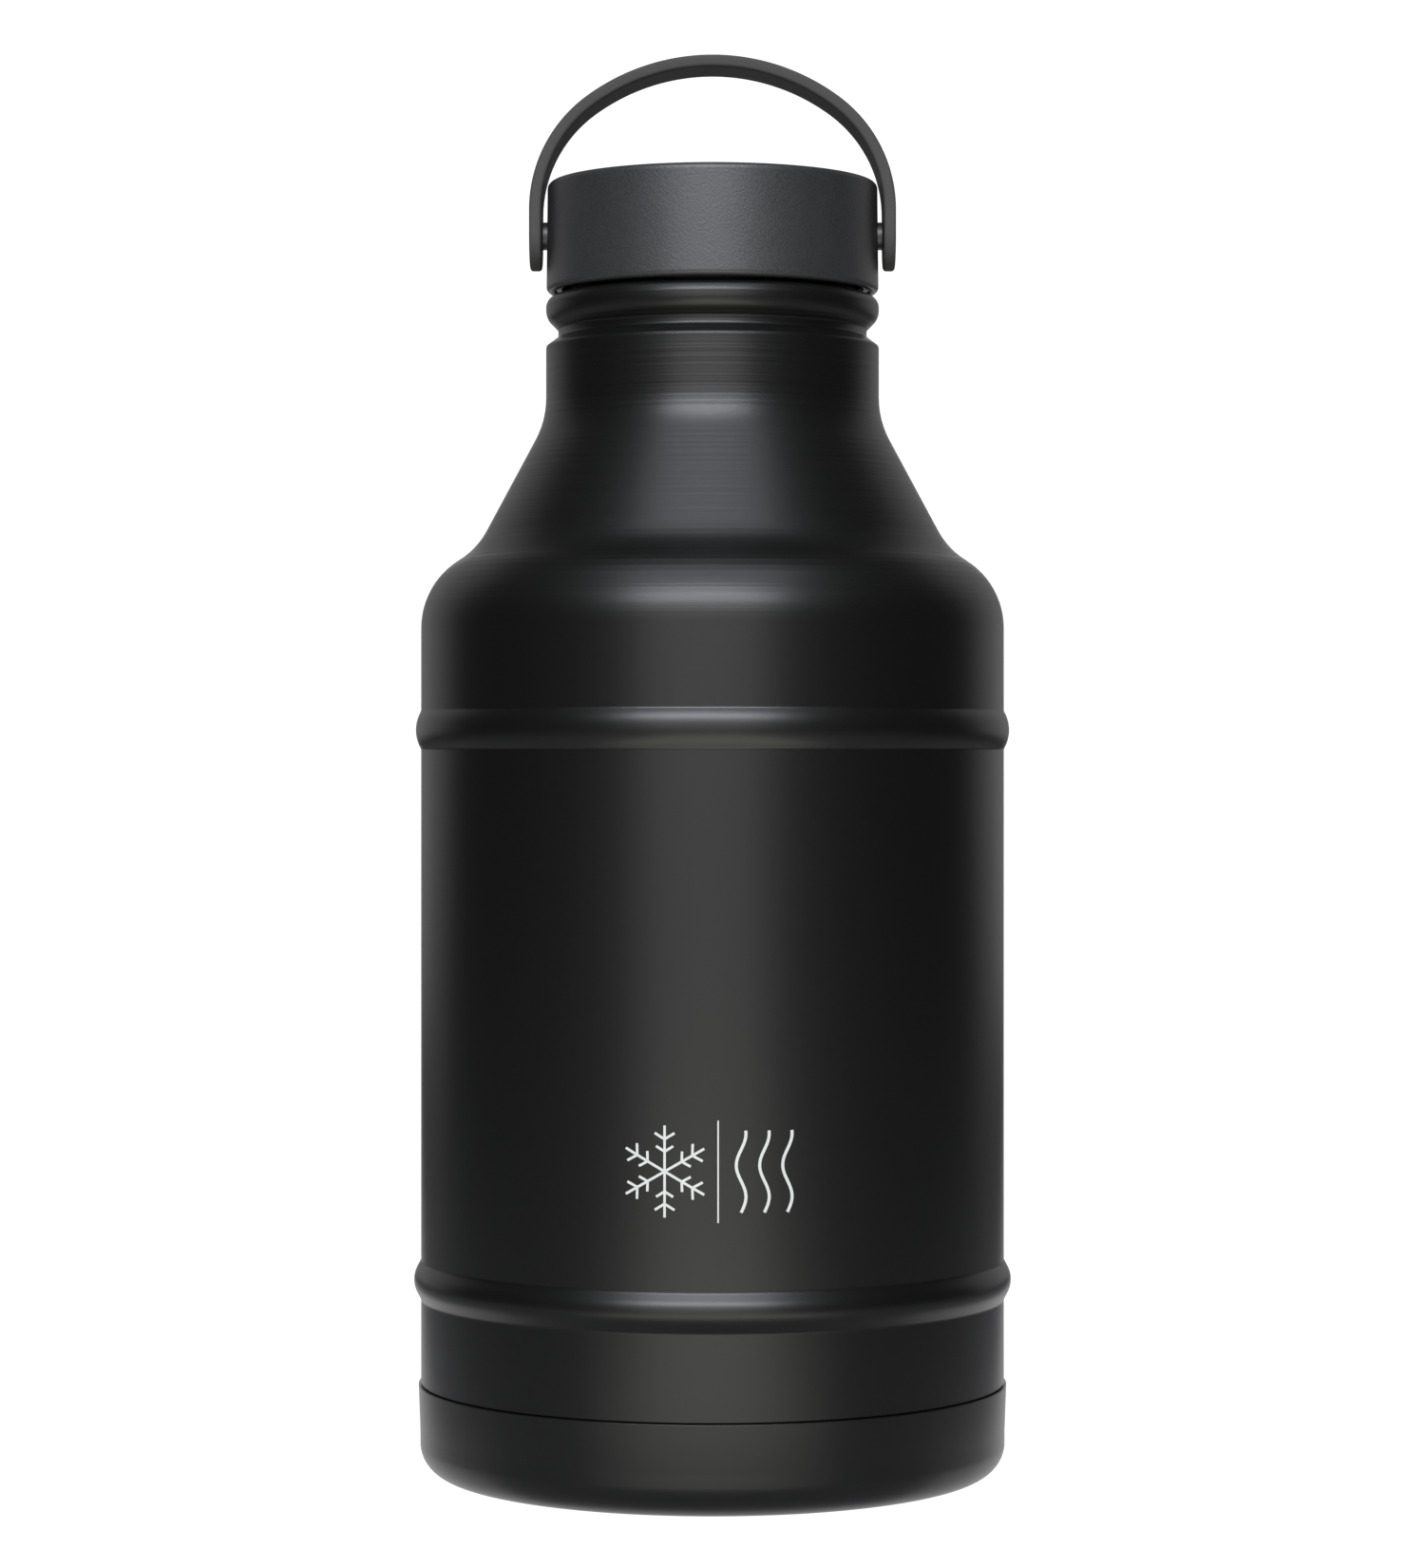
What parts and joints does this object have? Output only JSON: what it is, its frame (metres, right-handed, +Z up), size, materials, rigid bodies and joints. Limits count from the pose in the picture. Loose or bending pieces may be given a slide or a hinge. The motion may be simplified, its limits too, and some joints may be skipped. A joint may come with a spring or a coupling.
{
  "type": "insulated growler",
  "caption": "Vacuum-insulated steel growler with a ribbed body, a cone shoulder, a grooved neck and a screw cap with a tilting bail handle.",
  "frame": {"origin": "middle of the foot ring, on the surface that the growler stands on", "axes": "+Z up along the axis of the body, neck and cap; X along the handle's two pivots; the printed mark faces -Y"},
  "size_m": [0.1246, 0.1246, 0.2954],
  "materials": {
    "powder_coat": "satin black powder coat with a very fine texture",
    "handle_coat": "fine satin dark grey powder coat on formed flat bar",
    "cap_plastic": "matt dark grey moulded plastic with a fine spark texture",
    "liner_plastic": "smooth semi-matt dark grey moulded plastic",
    "cap_foam": "white closed-cell insulating foam",
    "silicone": "translucent off-white silicone",
    "vessel_steel": "electropolished stainless steel",
    "bare_steel": "plain rolled stainless steel, uncoated",
    "copper_foil": "bright copper foil, crinkled",
    "getter": "dull grey sintered getter metal",
    "glass_solder": "dark fused solder glass",
    "rivet_steel": "dark grey coated steel",
    "spacer_nylon": "black nylon"
  },
  "bodies": {
    "bottle": {"outer_shell": "powder_coat", "outer_bottom": "bare_steel", "vacuum_seal_bead": "glass_solder", "base_cup": "powder_coat", "inner_vessel": "vessel_steel", "inner_bottom": "vessel_steel", "radiation_foil": "copper_foil", "getter_pill": "getter", "getter_clip": "bare_steel"},
    "cap_seal": {"cap_gasket": "silicone"},
    "cap": {"cap_shell": "cap_plastic", "cap_liner": "liner_plastic", "cap_foam": "cap_foam", "pivot_spacer_left": "spacer_nylon", "pivot_spacer_right": "spacer_nylon", "pivot_rivet_left": "rivet_steel", "pivot_rivet_right": "rivet_steel"},
    "handle": {"handle": "handle_coat"}
  },
  "joints": [
    {"name": "cap_lift", "type": "slide", "parent": "bottle", "child": "cap_seal", "axis": [0, 0, 1], "range_m": [0, 0.02401]},
    {"name": "cap_turn", "type": "hinge", "parent": "cap_seal", "child": "cap", "pos_m": [0, 0, 0.26], "axis": [0, 0, 1], "range_deg": [0, 2160]},
    {"name": "handle_tilt", "type": "hinge", "parent": "cap", "child": "handle", "pos_m": [0, 0, 0.25839], "axis": [1, 0, 0], "range_deg": [-57, 57]}
  ],
  "couplings": [
    {"joint": "cap_lift", "follows": "cap_turn", "m_per_rad": 0.00063662}
  ]
}
